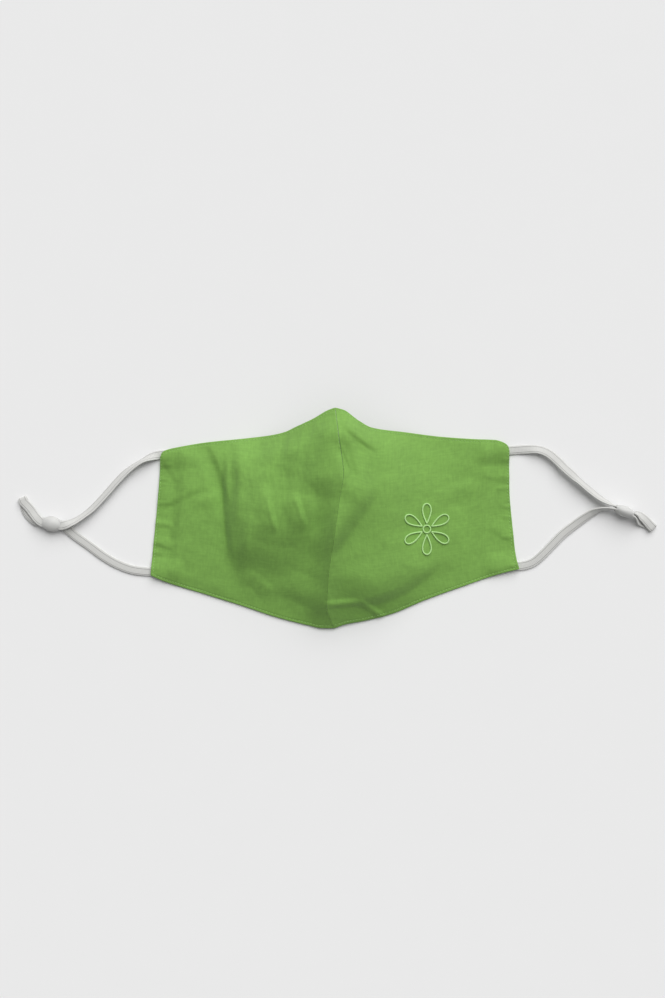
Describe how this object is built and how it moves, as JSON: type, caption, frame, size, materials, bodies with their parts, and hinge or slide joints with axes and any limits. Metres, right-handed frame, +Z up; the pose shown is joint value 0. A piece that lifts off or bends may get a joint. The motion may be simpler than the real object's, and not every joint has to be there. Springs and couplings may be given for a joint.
{
  "type": "cloth face mask",
  "caption": "Shaped cotton face mask lying flat, with a centre seam, a hollow for nose and chin, and flat elastic ear loops with adjuster beads.",
  "frame": {"origin": "centre of the two cloth panels' footprint, on the surface that the mask lies on", "axes": "+X from the left panel to the right one as the mask is seen from above, +Y towards the nose edge, +Z up, away from the surface and out of the outer face"},
  "size_m": [0.3947, 0.1352, 0.0337],
  "materials": {
    "cloth": "matte woven cotton",
    "elastic": "knitted elastic, matte",
    "adjuster": "satin silicone"
  },
  "bodies": {
    "root": {"panel_left": "cloth", "panel_right": "cloth", "ear_loop_left": "elastic", "ear_loop_right": "elastic", "adjuster_left": "adjuster", "adjuster_right": "adjuster"}
  },
  "joints": []
}
